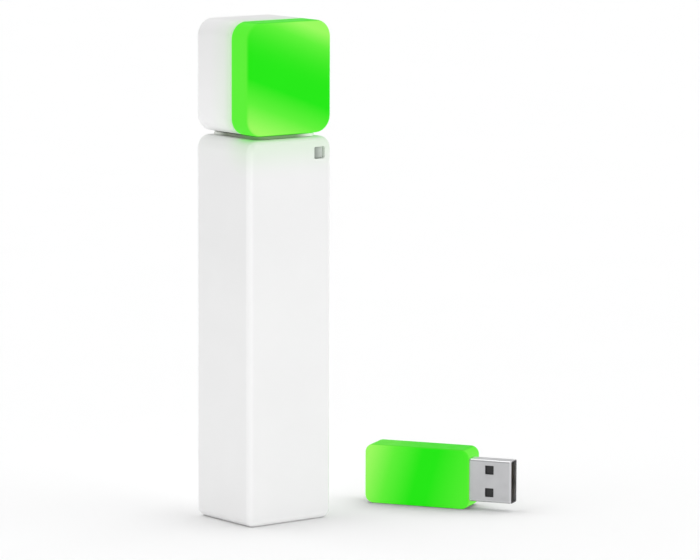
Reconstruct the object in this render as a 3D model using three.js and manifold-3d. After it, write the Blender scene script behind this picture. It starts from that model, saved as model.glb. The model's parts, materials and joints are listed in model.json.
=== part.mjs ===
// A cordless desk status light: a slim white tower with a swivelling lamp head, and its radio dongle.
// Millimetres, +Z up. The origin is on the desk under the tower's centre, and -Y is the lit front.

import * as THREE from 'three';
import { mergeVertices } from 'three/addons/utils/BufferGeometryUtils.js';
import Module from 'manifold-3d';

const wasm = await Module();
wasm.setup();

// ---------------------------------------------------------------- driving dimensions

const towerWidth = 28.4;
const towerDepth = 24.3;
const towerHeight = 138.3;
const headHeight = 30.9;
const neckGap = 1.0;
const footStand = 0.08;

const wall = 1.8;
const edgeRadius = 1.4;
const headCornerRadius = 4.7;
const columnTopRadius = 3.5;
const columnBaseRadius = 2.4;
const diffuserDepth = 8.0;
const seam = 0.2;
const contactGap = 0.1;
const pieceGap = 0.3;
// How far a cutting tool runs past the face it cuts through.
const overshoot = 1.0;

const swivelBore = 5.4;
const hubRadius = 5.0;
const leadRadius = 1.0;

const dongleLength = 31.0;
const dongleHeight = 16.8;
const dongleThickness = 10.0;
const dongleWall = 1.2;
const dongleCornerRadius = 2.4;
const dongleEdgeRadius = 1.1;
const dongleCentre = new THREE.Vector2(47.0, -11.6);
const dongleTurn = THREE.MathUtils.degToRad(-58.8);

const plugHeight = 12.0;
const plugThickness = 4.5;
const plugReach = 12.4;
// The plug sits close behind the dongle's front face.
const plugShift = -1.65;
const plugWall = 0.4;

// ---------------------------------------------------------------- places worked out from them

const halfWidth = towerWidth / 2;
const halfDepth = towerDepth / 2;
const columnTop = towerHeight - headHeight - neckGap;
const headBase = columnTop + neckGap;
const cavityHalfWidth = halfWidth - wall;
const cavityHalfDepth = halfDepth - wall;
const cavityTop = columnTop - wall;
const seamFront = -halfDepth + diffuserDepth;

// ---------------------------------------------------------------- materials

function plastic(colour, roughness) {
  return new THREE.MeshStandardMaterial({ color: colour, roughness, metalness: 0 });
}

function metal(colour, roughness) {
  return new THREE.MeshStandardMaterial({ color: colour, roughness, metalness: 1 });
}

const whiteShell = plastic(0xf0f0f0, 0.45);
const whiteTray = plastic(0xf6f6f4, 0.6);
const greenLens = plastic(0x2fe62a, 0.35);
const buttonGrey = plastic(0xb4b6b2, 0.5);
const frameGrey = plastic(0x5c6064, 0.6);
const blackPlastic = plastic(0x1c1c1e, 0.5);
const darkRubber = plastic(0x2a2a2c, 0.85);
const boardGreen = plastic(0x1d5b35, 0.5);
const chipBlack = plastic(0x161618, 0.4);
const ledWhite = plastic(0xf3f1dc, 0.3);
const cellSleeve = plastic(0x2f5fa8, 0.4);
const leadSheath = plastic(0x3a3a3c, 0.7);
const plugSteel = metal(0xbebec0, 0.3);
const platedSteel = metal(0xa8aaac, 0.35);
const gold = metal(0xd8b25a, 0.3);

// ---------------------------------------------------------------- closed solids

const arcSteps = 4;
const roundSides = 40;
const smallRoundSides = 12;
const wireSides = 8;

function place(geometry, x, y, z) {
  geometry.translate(x, y, z);
  return geometry;
}

/** A box from its low and high limits on each axis. */
function block([xLow, xHigh], [yLow, yHigh], [zLow, zHigh]) {
  const box = new THREE.BoxGeometry(xHigh - xLow, yHigh - yLow, zHigh - zLow);
  return place(box, (xLow + xHigh) / 2, (yLow + yHigh) / 2, (zLow + zHigh) / 2);
}

/** An upright rectangle with rounded corners, centred on x = 0. */
function roundedOutline(width, bottom, top, bottomRadius, topRadius) {
  const x = width / 2;
  const quarter = Math.PI / 2;
  const shape = new THREE.Shape();
  shape.absarc(x - bottomRadius, bottom + bottomRadius, bottomRadius, -quarter, 0);
  shape.absarc(x - topRadius, top - topRadius, topRadius, 0, quarter);
  shape.absarc(-x + topRadius, top - topRadius, topRadius, quarter, 2 * quarter);
  shape.absarc(-x + bottomRadius, bottom + bottomRadius, bottomRadius, 2 * quarter, 3 * quarter);
  return shape;
}

/** An upright outline carried from its front plane to its back plane, with rounded front and back edges. */
function slab(outline, yFront, yBack, edge) {
  const geometry = new THREE.ExtrudeGeometry(outline, {
    depth: yBack - yFront - 2 * edge,
    bevelEnabled: edge > 0,
    bevelThickness: edge,
    bevelSize: edge,
    bevelOffset: -edge,
    bevelSegments: 3,
    curveSegments: arcSteps,
  });
  geometry.rotateX(Math.PI / 2);
  return place(geometry, 0, yBack - edge, 0);
}

/** A flat outline in plan, raised from zLow to zHigh. */
function plate(outline, zLow, zHigh, steps = arcSteps) {
  const options = { depth: zHigh - zLow, bevelEnabled: false, curveSegments: steps };
  return place(new THREE.ExtrudeGeometry(outline, options), 0, 0, zLow);
}

/** A solid of revolution about Z from [radius, height] pairs, listed outside upwards. */
function turned(profile, sides = roundSides) {
  const points = profile.map(([radius, height]) => new THREE.Vector2(radius, height));
  const geometry = new THREE.LatheGeometry(points, sides);
  geometry.rotateX(Math.PI / 2);
  return geometry;
}

function rod(radius, zLow, zHigh, sides = roundSides) {
  return turned([[0, zLow], [radius, zLow], [radius, zHigh], [0, zHigh]], sides);
}

function ring(inner, outer, zLow, zHigh) {
  return turned([[inner, zLow], [outer, zLow], [outer, zHigh], [inner, zHigh], [inner, zLow]]);
}

/** A rod that lies along Y. */
function rodAlongY(radius, yLow, yHigh, x, z) {
  const geometry = rod(radius, -yHigh, -yLow, smallRoundSides);
  geometry.rotateX(Math.PI / 2);
  return place(geometry, x, 0, z);
}

function solidOf(geometry) {
  const bare = geometry.clone();
  bare.deleteAttribute('normal');
  bare.deleteAttribute('uv');
  const merged = mergeVertices(bare);
  return new wasm.Manifold(new wasm.Mesh({
    numProp: 3,
    vertProperties: new Float32Array(merged.attributes.position.array),
    triVerts: new Uint32Array(merged.index.array),
  }));
}

function geometryOf(solid) {
  const mesh = solid.getMesh();
  const geometry = new THREE.BufferGeometry();
  geometry.setAttribute('position', new THREE.BufferAttribute(mesh.vertProperties, mesh.numProp));
  geometry.setIndex(new THREE.BufferAttribute(mesh.triVerts, 1));
  geometry.computeVertexNormals();
  return geometry;
}

function join(base, ...additions) {
  return geometryOf(additions.reduce((solid, piece) => solid.add(solidOf(piece)), solidOf(base)));
}

function cut(base, ...tools) {
  return geometryOf(tools.reduce((solid, tool) => solid.subtract(solidOf(tool)), solidOf(base)));
}

function keepWithin(base, limits) {
  return geometryOf(solidOf(base).intersect(solidOf(limits)));
}

// ---------------------------------------------------------------- assembly

const statusLight = new THREE.Group();
const head = new THREE.Group();
head.position.z = headBase;
const dongle = new THREE.Group();
dongle.position.set(dongleCentre.x, dongleCentre.y, 0);
dongle.rotation.z = dongleTurn;
statusLight.add(head, dongle);

function addPart(parent, name, geometry, material) {
  const mesh = new THREE.Mesh(geometry, material);
  mesh.name = name;
  parent.add(mesh);
}

// ---------------------------------------------------------------- screws

const screw = { head: 1.5, headHeight: 0.9, shank: 0.8, slot: 0.45, slotDepth: 0.4 };
const screwHole = screw.shank + contactGap;

/** A cross-head screw standing on its tip: the shank's length below its head, the tip at z = 0. */
function screwSolid(length) {
  const top = length + screw.headHeight;
  const body = turned([
    [0, 0], [screw.shank, 0], [screw.shank, length], [screw.head, length], [screw.head, top], [0, top],
  ], smallRoundSides);
  const reach = [-screw.head / 2, screw.head / 2];
  const narrow = [-screw.slot / 2, screw.slot / 2];
  const depth = [top - screw.slotDepth, top + overshoot];
  return cut(body, block(reach, narrow, depth), block(narrow, reach, depth));
}

// ---------------------------------------------------------------- the tower's shell and base

const throat = { halfWidth: 11.3, halfDepth: 9.4, top: 6.4 };
const button = {
  x: 10.0, z: 101.9, holeWidth: 3.8, holeHeight: 3.6, play: 0.25, recess: 0.8, travel: 0.4,
  flangeThickness: 0.6, flangeX: [7.2, 12.0], flangeZ: [99.2, 103.8],
};
const stop = { width: 1.2, ribInner: 7.6, ribOuter: 10.2, ribDrop: 2.6, tabInner: 6.0, tabOuter: 8.6 };
const port = {
  halfWidth: 3.75, zLow: 7.4, zHigh: 10.1, yBack: 6.2, yMouth: 11.6, wall: 0.3, clearance: 0.35,
};
const base = { play: 0.25, thickness: 3.0 };
const pad = { width: 21.0, depth: 17.4, recess: 0.8, cornerRadius: 2.0 };
const post = { x: 8.5, y: 1.0, radius: 2.0, bottom: 3.6, top: 19.0, holeTop: 9.0 };
const baseScrewLength = 6.0;
const baseScrewSeat = footStand + pad.recess + screw.headHeight + contactGap;

function columnShell() {
  const outer = slab(
    roundedOutline(towerWidth, footStand, columnTop, columnBaseRadius, columnTopRadius),
    -halfDepth, halfDepth, edgeRadius,
  );
  const cavityRadius = columnTopRadius - wall;
  const cavity = slab(
    roundedOutline(2 * cavityHalfWidth, throat.top, cavityTop, cavityRadius, cavityRadius),
    -cavityHalfDepth, cavityHalfDepth, 0,
  );
  const throatCut = block(
    [-throat.halfWidth, throat.halfWidth],
    [-throat.halfDepth, throat.halfDepth],
    [footStand - overshoot, throat.top + overshoot],
  );
  const neckHole = rod(swivelBore, cavityTop - overshoot, columnTop + overshoot);
  const buttonHole = block(
    [button.x - button.holeWidth / 2, button.x + button.holeWidth / 2],
    [-halfDepth - overshoot, -cavityHalfDepth + overshoot],
    [button.z - button.holeHeight / 2, button.z + button.holeHeight / 2],
  );
  const portHole = block(
    [-port.halfWidth - port.clearance, port.halfWidth + port.clearance],
    [cavityHalfDepth - overshoot, halfDepth + overshoot],
    [port.zLow - port.clearance, port.zHigh + port.clearance],
  );
  const stopRib = block(
    [-stop.width / 2, stop.width / 2],
    [stop.ribInner, stop.ribOuter],
    [cavityTop - stop.ribDrop, cavityTop + wall / 2],
  );
  return join(cut(outer, cavity, throatCut, neckHole, buttonHole, portHole), stopRib);
}

function baseCap() {
  const halfX = throat.halfWidth - base.play;
  const halfY = throat.halfDepth - base.play;
  const disc = block([-halfX, halfX], [-halfY, halfY], [footStand, footStand + base.thickness]);
  const padSeat = block(
    [-pad.width / 2 - contactGap, pad.width / 2 + contactGap],
    [-pad.depth / 2 - contactGap, pad.depth / 2 + contactGap],
    [footStand - overshoot, footStand + pad.recess],
  );
  const holes = [-post.x, post.x].flatMap((x) => [
    place(rod(screwHole, 0, baseScrewLength, smallRoundSides), x, post.y, 0),
    place(rod(screw.head + contactGap, 0, baseScrewSeat, smallRoundSides), x, post.y, 0),
  ]);
  return cut(disc, padSeat, ...holes);
}

function baseScrew(x) {
  const geometry = screwSolid(baseScrewLength);
  geometry.rotateX(Math.PI);
  return place(geometry, x, post.y, baseScrewSeat - contactGap / 2 + baseScrewLength);
}

function footPad() {
  const { width, depth, recess, cornerRadius } = pad;
  const outline = roundedOutline(width, -depth / 2, depth / 2, cornerRadius, cornerRadius);
  return plate(outline, 0, footStand + recess - contactGap / 2);
}

addPart(statusLight, 'column_shell', columnShell(), whiteShell);
addPart(statusLight, 'base_cap', baseCap(), whiteShell);
addPart(statusLight, 'base_screw_1', baseScrew(-post.x), platedSteel);
addPart(statusLight, 'base_screw_2', baseScrew(post.x), platedSteel);
addPart(statusLight, 'foot_pad', footPad(), darkRubber);

// ---------------------------------------------------------------- inner frame and battery

const frame = {
  halfWidth: 10.8, plateFront: -6.2, plateBack: -5.4, shelfBottom: 18, shelfTop: 20, top: 93, back: 9.2,
};
const cell = { radius: 7.0, y: 2.1, bottom: 24, top: 74, nubRadius: 2.6, nubHeight: 1.0, shoulder: 0.6 };
const cradle = { heights: [29, 65], thickness: 2, root: 0.5, back: 4.8 };
const tab = { x: [-2, 3], yFront: -1.9, yBack: 5.1 };
const board = { front: -7.6, back: -6.6, halfWidth: 10.8, bottom: 16, top: 95, thickness: 1.0 };
const boardScrews = [{ x: -8.4, z: 89 }, { x: 8.4, z: 23 }];
const boardScrewLength = 2.6;
const cellLead = {
  x: 1.5, y: -0.9, radius: 0.5, steps: 8, topRise: [1.2, 2.2], bottomDrop: [0.9, 1.3],
  window: [-0.5, 3.5], topWindow: [75.6, 79], bottomWindow: [20.6, 23.6],
};

function innerFrame() {
  const width = [-frame.halfWidth, frame.halfWidth];
  const spine = block(width, [frame.plateFront, frame.plateBack], [frame.shelfBottom, frame.top]);
  const shelf = block(width, [frame.plateFront, frame.back], [frame.shelfBottom, frame.shelfTop]);
  const ribs = cradle.heights.map((z) => {
    return block(width, [frame.plateBack - cradle.root, cradle.back], [z, z + cradle.thickness]);
  });
  const posts = [-post.x, post.x].map((x) => {
    return place(rod(post.radius, post.bottom, post.top, smallRoundSides), x, post.y, 0);
  });
  const cellSpace = place(
    rod(cell.radius + pieceGap, cell.bottom - overshoot, cell.top + overshoot), 0, cell.y, 0,
  );
  const postHoles = [-post.x, post.x].map((x) => {
    return place(rod(screwHole, 0, post.holeTop, smallRoundSides), x, post.y, 0);
  });
  const boardHoles = boardScrews.map(({ x, z }) => {
    return rodAlongY(screwHole, frame.plateFront - overshoot, frame.plateBack + overshoot, x, z);
  });
  const windows = [cellLead.topWindow, cellLead.bottomWindow].map((span) => {
    return block(cellLead.window, [frame.plateFront - overshoot, frame.plateBack + overshoot], span);
  });
  return cut(join(spine, shelf, ...ribs, ...posts), cellSpace, ...postHoles, ...boardHoles, ...windows);
}

function batteryCell() {
  const { radius, bottom, top, nubRadius, nubHeight, shoulder } = cell;
  const body = turned([
    [0, bottom], [radius - shoulder, bottom], [radius, bottom + shoulder], [radius, top - shoulder],
    [radius - shoulder, top], [nubRadius, top], [nubRadius, top + nubHeight], [0, top + nubHeight],
  ]);
  return place(body, 0, cell.y, 0);
}

function batteryTab(zLow) {
  return block(tab.x, [tab.yFront, tab.yBack], [zLow, zLow + pieceGap]);
}

/** A round wire along a smooth curve through the given points. */
function wire(points, radius, steps) {
  const section = new THREE.Shape();
  section.absarc(0, 0, radius, 0, 2 * Math.PI);
  const path = new THREE.CatmullRomCurve3(points.map(([x, y, z]) => new THREE.Vector3(x, y, z)));
  return new THREE.ExtrudeGeometry(section, { steps, extrudePath: path, curveSegments: wireSides / 2 });
}

function batteryLead(zStart, zEnd) {
  const nearCell = [cellLead.x, cellLead.y, zStart];
  const middle = [cellLead.x, (cellLead.y + frame.plateFront) / 2, (zStart + zEnd) / 2];
  const nearBoard = [cellLead.x, board.back + pieceGap, zEnd];
  return wire([nearCell, middle, nearBoard], cellLead.radius, cellLead.steps);
}

const topTabLow = cell.top + cell.nubHeight + contactGap;
const bottomTabLow = cell.bottom - 2 * pieceGap;

addPart(statusLight, 'inner_frame', innerFrame(), frameGrey);
addPart(statusLight, 'battery_cell', batteryCell(), cellSleeve);
addPart(statusLight, 'battery_tab_top', batteryTab(topTabLow), platedSteel);
addPart(statusLight, 'battery_tab_bottom', batteryTab(bottomTabLow), platedSteel);
const [topStart, topEnd] = cellLead.topRise.map((rise) => topTabLow + rise);
const [bottomStart, bottomEnd] = cellLead.bottomDrop.map((drop) => bottomTabLow - drop);
addPart(statusLight, 'battery_lead_top', batteryLead(topStart, topEnd), leadSheath);
addPart(statusLight, 'battery_lead_bottom', batteryLead(bottomStart, bottomEnd), leadSheath);

// ---------------------------------------------------------------- main board and what it carries

const switchBoard = { xLow: 8.3, xHigh: 11.0, root: 1.0, top: 103.6 };
const tactSwitch = {
  half: 1.5, front: -8.8, holeRadius: 1.0, holeDepth: 0.95, plungerRadius: 0.8, plungerLength: 0.8,
};
const radioModule = { x: [-6, 6], z: [68, 82], height: 1.6 };
const controller = { x: [-3.5, 3.5], z: [50, 57], height: 1.0 };
const coil = { radius: 2.4, height: 1.65, x: 5.0, z: 36 };
const leadSocket = { x: [-3, 3], z: [88, 93], height: 1.7 };
// Depth, and height over the board's top, of the lead's way from its socket to the swivel axis.
const columnLeadRoute = [[-7.5, 2.3], [-5.0, 2.7], [-2.0, 2.7], [0, 3.4], [0, 3.9]];
const columnLeadRise = 0.6;
const columnLeadSteps = 16;

function mainBoard() {
  const depth = [board.front, board.back];
  const body = block([-board.halfWidth, board.halfWidth], depth, [board.bottom, board.top]);
  const armHeight = [board.top - switchBoard.root, switchBoard.top];
  const arm = block([switchBoard.xLow, switchBoard.xHigh], depth, armHeight);
  const holes = boardScrews.map(({ x, z }) => {
    return rodAlongY(screwHole, board.front - overshoot, board.back + overshoot, x, z);
  });
  return cut(join(body, arm), ...holes);
}

function boardScrew({ x, z }, yFace, length) {
  const geometry = screwSolid(length);
  geometry.rotateX(Math.PI / 2);
  return place(geometry, x, yFace - contactGap / 2 + length, z);
}

const boardSeat = board.front - contactGap / 2;

/** A flat component on the front of the main board. */
function onBoard({ x, z, height }) {
  return block(x, [boardSeat - height, boardSeat], z);
}

function switchBody() {
  const { half, front, holeRadius, holeDepth } = tactSwitch;
  const [xSpan, zSpan] = [button.x, button.z].map((middle) => [middle - half, middle + half]);
  const hole = rodAlongY(holeRadius, front - overshoot, front + holeDepth, button.x, button.z);
  return cut(block(xSpan, [front, boardSeat], zSpan), hole);
}

function columnLead() {
  const socketY = board.front - contactGap - leadSocket.height / 2;
  const start = [0, socketY, leadSocket.z[1] + pieceGap];
  const pastBoard = [0, socketY, board.top + columnLeadRise];
  const toNeck = columnLeadRoute.map(([y, rise]) => [0, y, board.top + rise]);
  return wire([start, pastBoard, ...toNeck], leadRadius, columnLeadSteps);
}

addPart(statusLight, 'main_board', mainBoard(), boardGreen);
boardScrews.forEach((spot, index) => {
  const geometry = boardScrew(spot, board.front, boardScrewLength);
  addPart(statusLight, `board_screw_${index + 1}`, geometry, platedSteel);
});
addPart(statusLight, 'radio_module', onBoard(radioModule), platedSteel);
addPart(statusLight, 'controller_chip', onBoard(controller), chipBlack);
const coilSolid = rodAlongY(coil.radius, boardSeat - coil.height, boardSeat, coil.x, coil.z);
addPart(statusLight, 'converter_coil', coilSolid, chipBlack);
addPart(statusLight, 'lead_socket', onBoard(leadSocket), whiteTray);
addPart(statusLight, 'column_lead', columnLead(), leadSheath);
addPart(statusLight, 'switch_body', switchBody(), blackPlastic);

// ---------------------------------------------------------------- status button (moves +Y by its travel)

const flangeFront = -cavityHalfDepth + pieceGap;
const flangeBack = flangeFront + button.flangeThickness;

function statusButton() {
  const capHalfX = button.holeWidth / 2 - button.play;
  const capHalfZ = button.holeHeight / 2 - button.play;
  const cap = block(
    [button.x - capHalfX, button.x + capHalfX],
    [-halfDepth + button.recess, flangeBack],
    [button.z - capHalfZ, button.z + capHalfZ],
  );
  return join(cap, block(button.flangeX, [flangeFront, flangeBack], button.flangeZ));
}

function switchPlunger() {
  const front = flangeBack + pieceGap;
  return rodAlongY(tactSwitch.plungerRadius, front, front + tactSwitch.plungerLength, button.x, button.z);
}

addPart(statusLight, 'status_button', statusButton(), buttonGrey);
addPart(statusLight, 'switch_plunger', switchPlunger(), blackPlastic);

// ---------------------------------------------------------------- charging port

const chargeBoard = { halfWidth: 5.8, front: -1.0, back: 9.8, bottom: 6.5, top: 7.3 };
const portTongue = { x: [-1.8, 1.8], y: [7.0, 11.0], z: [8.8, 9.4] };
const charger = { x: [-1.5, 1.5], y: [2.2, 5.2], z: [7.35, 8.25] };
const chargeLeadSize = { x: 3.6, radius: 0.6, steps: 12 };
// Depth and height of the lead's way from the charge board up to the main board.
const chargeLeadRoute = [[0.6, 8.1], [0.2, 10.4], [-3.0, 13.0], [-6.4, 14.3], [-7.1, 15.7]];

function chargePortShell() {
  const width = [-port.halfWidth, port.halfWidth];
  const shell = block(width, [port.yBack, port.yMouth], [port.zLow, port.zHigh]);
  const mouth = block(
    [-port.halfWidth + port.wall, port.halfWidth - port.wall],
    [port.yBack + 2 * port.wall, port.yMouth + overshoot],
    [port.zLow + port.wall, port.zHigh - port.wall],
  );
  return cut(shell, mouth);
}

function chargeLead() {
  const { x, radius, steps } = chargeLeadSize;
  return wire(chargeLeadRoute.map(([y, z]) => [x, y, z]), radius, steps);
}

const chargeBoardSolid = block(
  [-chargeBoard.halfWidth, chargeBoard.halfWidth],
  [chargeBoard.front, chargeBoard.back],
  [chargeBoard.bottom, chargeBoard.top],
);
addPart(statusLight, 'charge_board', chargeBoardSolid, boardGreen);
addPart(statusLight, 'charge_port_shell', chargePortShell(), platedSteel);
addPart(statusLight, 'charge_port_tongue', block(portTongue.x, portTongue.y, portTongue.z), blackPlastic);
addPart(statusLight, 'charger_chip', block(charger.x, charger.y, charger.z), chipBlack);
addPart(statusLight, 'charge_lead', chargeLead(), leadSheath);

// ---------------------------------------------------------------- swivel neck

// In the head's group z = 0 is the head's underside.
const hub = { bore: 3.4, bottom: -7.0, flangeLow: wall + contactGap, flangeHigh: 3.3, grooveRadius: 4.3 };
const hubFlange = { x: 9.5, front: -3.9, back: 9.0 };
const hubScrews = [{ x: -7.3, y: 5.5 }, { x: 7.3, y: 5.5 }];
const hubScrewLength = 2.4;
const cavityTopInHead = cavityTop - headBase;
const frictionPad = { width: 20.6, depth: 22.0, cornerRadius: 2.0 };
const stopRing = { inner: 5.15, outer: 6.8, top: cavityTopInHead - 1.0, thickness: 1.2 };
const clip = { inner: 4.45, outer: 7.0, top: stopRing.top - stopRing.thickness - pieceGap, thickness: 0.8 };

const wave = { height: 0.15, count: 3, outer: 7.2, thickness: 0.3, middle: cavityTopInHead - 0.45 };

/** The pad that fills most of the gap under the head and carries its weight. */
function frictionPadSolid() {
  const { width, depth, cornerRadius } = frictionPad;
  const outline = roundedOutline(width, -depth / 2, depth / 2, cornerRadius, cornerRadius);
  const sheet = plate(outline, columnTop + contactGap / 2, headBase - contactGap);
  return cut(sheet, rod(swivelBore, columnTop - overshoot, headBase + overshoot));
}

function waveWasher() {
  const span = [wave.middle - wave.thickness / 2, wave.middle + wave.thickness / 2];
  const geometry = ring(swivelBore, wave.outer, ...span);
  const position = geometry.attributes.position;
  for (let index = 0; index < position.count; index += 1) {
    const angle = Math.atan2(position.getY(index), position.getX(index));
    position.setZ(index, position.getZ(index) + wave.height * Math.sin(wave.count * angle));
  }
  return geometry;
}

function swivelHub() {
  const tube = rod(hubRadius, hub.bottom, hub.flangeHigh - contactGap);
  const flangeDepth = [hubFlange.front, hubFlange.back];
  const flange = block([-hubFlange.x, hubFlange.x], flangeDepth, [hub.flangeLow, hub.flangeHigh]);
  const bore = rod(hub.bore, hub.bottom - overshoot, hub.flangeHigh + overshoot);
  const grooveSpan = [clip.top - clip.thickness - contactGap, clip.top + contactGap];
  const groove = ring(hub.grooveRadius, hubRadius + overshoot, ...grooveSpan);
  const holes = hubScrews.map(({ x, y }) => {
    return place(rod(screwHole, 0, hub.flangeHigh + overshoot, smallRoundSides), x, y, 0);
  });
  return cut(join(tube, flange), bore, groove, ...holes);
}

function hubScrew({ x, y }) {
  return place(screwSolid(hubScrewLength), x, y, hub.flangeHigh + contactGap / 2 - hubScrewLength);
}

function swivelStopRing() {
  const low = stopRing.top - stopRing.thickness;
  const tabWidth = [-stop.width / 2, stop.width / 2];
  const stopTab = block(tabWidth, [-stop.tabOuter, -stop.tabInner], [low, stopRing.top]);
  return join(ring(stopRing.inner, stopRing.outer, low, stopRing.top), stopTab);
}

function retainingClip() {
  const halfOpening = THREE.MathUtils.degToRad(35);
  const start = Math.PI / 2 + halfOpening;
  const end = Math.PI / 2 - halfOpening + 2 * Math.PI;
  const outline = new THREE.Shape();
  outline.absarc(0, 0, clip.outer, start, end, false);
  outline.absarc(0, 0, clip.inner, end, start, true);
  return plate(outline, clip.top - clip.thickness, clip.top, roundSides / 2);
}

addPart(statusLight, 'friction_pad', frictionPadSolid(), darkRubber);
addPart(head, 'wave_washer', waveWasher(), platedSteel);
addPart(head, 'swivel_hub', swivelHub(), frameGrey);
addPart(head, 'hub_screw_1', hubScrew(hubScrews[0]), platedSteel);
addPart(head, 'hub_screw_2', hubScrew(hubScrews[1]), platedSteel);
addPart(head, 'stop_ring', swivelStopRing(), frameGrey);
addPart(head, 'retaining_clip', retainingClip(), platedSteel);

// ---------------------------------------------------------------- lamp head

const ledBoard = { halfWidth: 10.5, front: -3.2, back: -2.2, bottom: 4.6, top: 26.6 };
const ledScrew = { x: 7.4, z: headHeight / 2, length: 3.0, bossRadius: 2.0 };
const led = { half: 2.5, height: 1.4, x: 3.2, z: 5.6, lensRadius: 2.0, lensDepth: 0.3 };
const ledSocket = { x: [-3, 3], yBack: 1.4, z: [5.4, 8.6] };
const headLead = { bottom: -8.1, top: 5.1 };
const tray = { halfWidth: 10.4, bottom: 4.8, top: 26.4, wall: 1.2, front: -8.8 };
const snapTab = { inner: 11.2, outer: 12.1, front: -8.0, back: -1.5, bottom: 12, top: 19 };

function headBlock() {
  const outline = roundedOutline(towerWidth, 0, headHeight, headCornerRadius, headCornerRadius);
  return slab(outline, -halfDepth, halfDepth, edgeRadius);
}

function headCavity() {
  const radius = headCornerRadius - wall;
  const outline = roundedOutline(2 * cavityHalfWidth, wall, headHeight - wall, radius, radius);
  return slab(outline, -cavityHalfDepth, cavityHalfDepth, 0);
}

/** Everything of the head between two planes across its depth. */
function headBetween(yFront, yBack) {
  const width = [-halfWidth - overshoot, halfWidth + overshoot];
  const limits = block(width, [yFront, yBack], [-overshoot, headHeight + overshoot]);
  return keepWithin(headBlock(), limits);
}

const hubClearance = rod(swivelBore, -overshoot, wall + overshoot);

function headRearShell() {
  const rear = headBetween(seamFront + seam / 2, halfDepth + overshoot);
  const shell = cut(rear, headCavity(), hubClearance);
  const bossSpan = [ledBoard.back + contactGap, cavityHalfDepth + wall / 2];
  const bosses = [-ledScrew.x, ledScrew.x].map((x) => {
    return rodAlongY(ledScrew.bossRadius, ...bossSpan, x, ledScrew.z);
  });
  const bossHoles = [-ledScrew.x, ledScrew.x].map((x) => {
    return rodAlongY(screwHole, ledBoard.back, ledScrew.length, x, ledScrew.z);
  });
  const holeBottom = hub.flangeHigh - hubScrewLength - pieceGap;
  const floorHoles = hubScrews.map(({ x, y }) => {
    return place(rod(screwHole, holeBottom, wall + overshoot, smallRoundSides), x, y, 0);
  });
  return cut(join(shell, ...bosses), ...bossHoles, ...floorHoles);
}

function headDiffuser() {
  const front = headBetween(-halfDepth - overshoot, seamFront - seam / 2);
  const shell = cut(front, headCavity(), hubClearance);
  const tabs = [-1, 1].flatMap((side) => {
    const root = [side * snapTab.inner, side * (cavityHalfWidth + wall / 2)].sort((a, b) => a - b);
    const tongue = [side * snapTab.inner, side * snapTab.outer].sort((a, b) => a - b);
    return [
      block(root, [snapTab.front, seamFront - 2 * seam], [snapTab.bottom, snapTab.top]),
      block(tongue, [snapTab.front, snapTab.back], [snapTab.bottom, snapTab.top]),
    ];
  });
  return join(shell, ...tabs);
}

function ledBoardSolid() {
  const body = block(
    [-ledBoard.halfWidth, ledBoard.halfWidth],
    [ledBoard.front, ledBoard.back],
    [ledBoard.bottom, ledBoard.top],
  );
  const holes = [-ledScrew.x, ledScrew.x].map((x) => {
    return rodAlongY(screwHole, ledBoard.front - overshoot, ledBoard.back + overshoot, x, ledScrew.z);
  });
  return cut(body, ...holes);
}

function lightEmitter(x, z) {
  const seat = ledBoard.front - contactGap / 2;
  const front = seat - led.height;
  const body = block([x - led.half, x + led.half], [front, seat], [z - led.half, z + led.half]);
  return cut(body, rodAlongY(led.lensRadius, front - overshoot, front + led.lensDepth, x, z));
}

function reflectorTray() {
  const back = ledBoard.front - pieceGap;
  const outer = block([-tray.halfWidth, tray.halfWidth], [tray.front, back], [tray.bottom, tray.top]);
  const opening = block(
    [-tray.halfWidth + tray.wall, tray.halfWidth - tray.wall],
    [tray.front - overshoot, back + overshoot],
    [tray.bottom + tray.wall, tray.top - tray.wall],
  );
  return cut(outer, opening);
}

addPart(head, 'head_rear_shell', headRearShell(), whiteShell);
addPart(head, 'head_diffuser', headDiffuser(), greenLens);
addPart(head, 'led_board', ledBoardSolid(), whiteTray);
let ledNumber = 1;
for (const z of [ledScrew.z - led.z, ledScrew.z + led.z]) {
  for (const x of [-led.x, led.x]) {
    addPart(head, `led_${ledNumber}`, lightEmitter(x, z), ledWhite);
    ledNumber += 1;
  }
}
[-ledScrew.x, ledScrew.x].forEach((x, index) => {
  const geometry = boardScrew({ x, z: ledScrew.z }, ledBoard.front, ledScrew.length);
  addPart(head, `led_screw_${index + 1}`, geometry, platedSteel);
});
addPart(head, 'reflector_tray', reflectorTray(), whiteTray);
const socketDepth = [ledBoard.back + contactGap, ledSocket.yBack];
addPart(head, 'led_socket', block(ledSocket.x, socketDepth, ledSocket.z), whiteTray);
addPart(head, 'head_lead', rod(leadRadius, headLead.bottom, headLead.top, wireSides), leadSheath);

// ---------------------------------------------------------------- radio dongle (its group: plug towards +X)

const dongleHalfLength = dongleLength / 2;
const dongleHalfThickness = dongleThickness / 2;
const plugMiddle = dongleHeight / 2;
const plugTip = dongleHalfLength + plugReach;
const plugRoot = 4.0;
const plugRear = dongleHalfLength - plugRoot;
const plugCornerRadius = 0.6;
const dongleBoard = { xLow: -13.0, xHigh: 10.6, halfThickness: 0.4, halfHeight: 6.2 };
const plugHole = { size: 2.5, fromTip: 6.5, apart: 6.4 };
const tongue = { halfHeight: 5.3, yLow: plugShift - 1.7, yHigh: plugShift, reach: 0.7 };
const contact = { width: 1.0, thickness: 0.2, length: 9.0, heights: [-3.5, -1.0, 1.0, 3.5] };
const radioChip = { x: [-2.5, 2.5], z: [-2.5, 2.5], height: 0.9 };
const crystal = { x: [4.2, 7.4], z: [-1.2, 1.3], height: 0.7 };
const dongleLed = { x: [-9.5, -6.0], z: [-1.4, 1.4], height: 1.2 };
const frontFace = -1;
const backFace = 1;

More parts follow.
